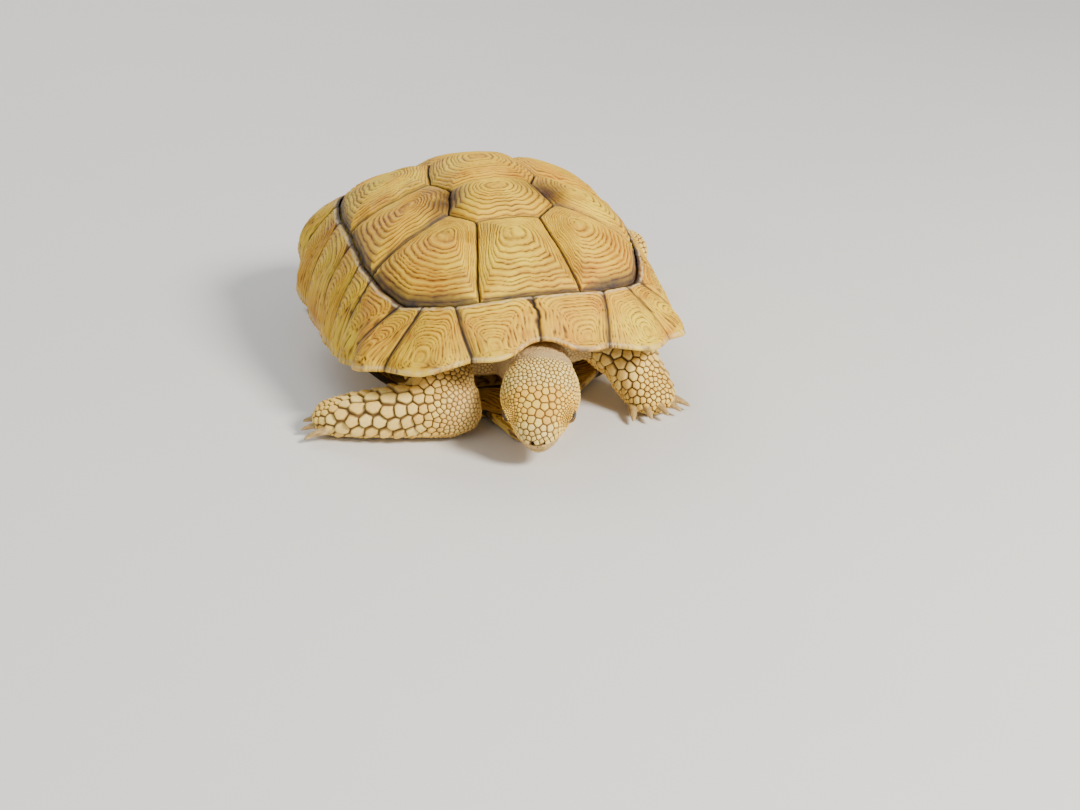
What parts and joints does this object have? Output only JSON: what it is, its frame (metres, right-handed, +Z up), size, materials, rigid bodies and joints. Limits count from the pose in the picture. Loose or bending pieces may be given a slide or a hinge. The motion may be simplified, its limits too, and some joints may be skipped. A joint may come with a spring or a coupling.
{
  "type": "sulcata tortoise",
  "caption": "Sulcata tortoise at life size, resting on its plastron with the head lowered to graze and the right foreleg stretched out to the side, under a high shell of ringed scutes.",
  "frame": {"origin": "on the flat underside of the abdominal plates, on the middle line, 40 mm behind the middle of the overall length; this is floor level", "axes": "+X to the animal's left, +Y towards its tail, so that it faces -Y, and +Z up"},
  "size_m": [0.4666, 0.5326, 0.2145],
  "materials": {
    "vertebral": "dry keratin with raised growth rings, honey tan with browner seams",
    "costal": "dry keratin with raised growth rings, golden brown with grey new growth",
    "marginal": "dry keratin with fine growth rings, honey tan with a pale rim",
    "plastron": "smooth worn keratin, pale straw",
    "skin": "dry grey-tan reptile skin with soft folds",
    "scaly": "reptile skin under raised pale horny scales",
    "horn": "satin horn",
    "claw": "worn satin horn",
    "eye": "wet, near-black"
  },
  "bodies": {
    "root": {"beak_lower": "horn", "beak_upper": "horn", "claw_fore_left_1": "claw", "claw_fore_left_2": "claw", "claw_fore_left_3": "claw", "claw_fore_left_4": "claw", "claw_fore_left_5": "claw", "claw_fore_right_1": "claw", "claw_fore_right_2": "claw", "claw_fore_right_3": "claw", "claw_fore_right_4": "claw", "claw_fore_right_5": "claw", "claw_hind_left_1": "claw", "claw_hind_left_2": "claw", "claw_hind_left_3": "claw", "claw_hind_left_4": "claw", "claw_hind_right_1": "claw", "claw_hind_right_2": "claw", "claw_hind_right_3": "claw", "claw_hind_right_4": "claw", "costal_left_1": "costal", "costal_left_2": "costal", "costal_left_3": "costal", "costal_left_4": "costal", "costal_right_1": "costal", "costal_right_2": "costal", "costal_right_3": "costal", "costal_right_4": "costal", "eye_left": "eye", "eye_right": "eye", "foreleg_left": "scaly", "foreleg_right": "scaly", "head": "scaly", "hindleg_left": "scaly", "hindleg_right": "scaly", "marginals_left": "marginal", "marginals_right": "marginal", "neck": "skin", "plastron_abdominal": "plastron", "plastron_anal": "plastron", "plastron_femoral": "plastron", "plastron_gular": "plastron", "plastron_humeral": "plastron", "plastron_pectoral": "plastron", "supracaudal": "marginal", "tail": "skin", "trunk": "skin", "vertebral_1": "vertebral", "vertebral_2": "vertebral", "vertebral_3": "vertebral", "vertebral_4": "vertebral", "vertebral_5": "vertebral"}
  },
  "joints": []
}
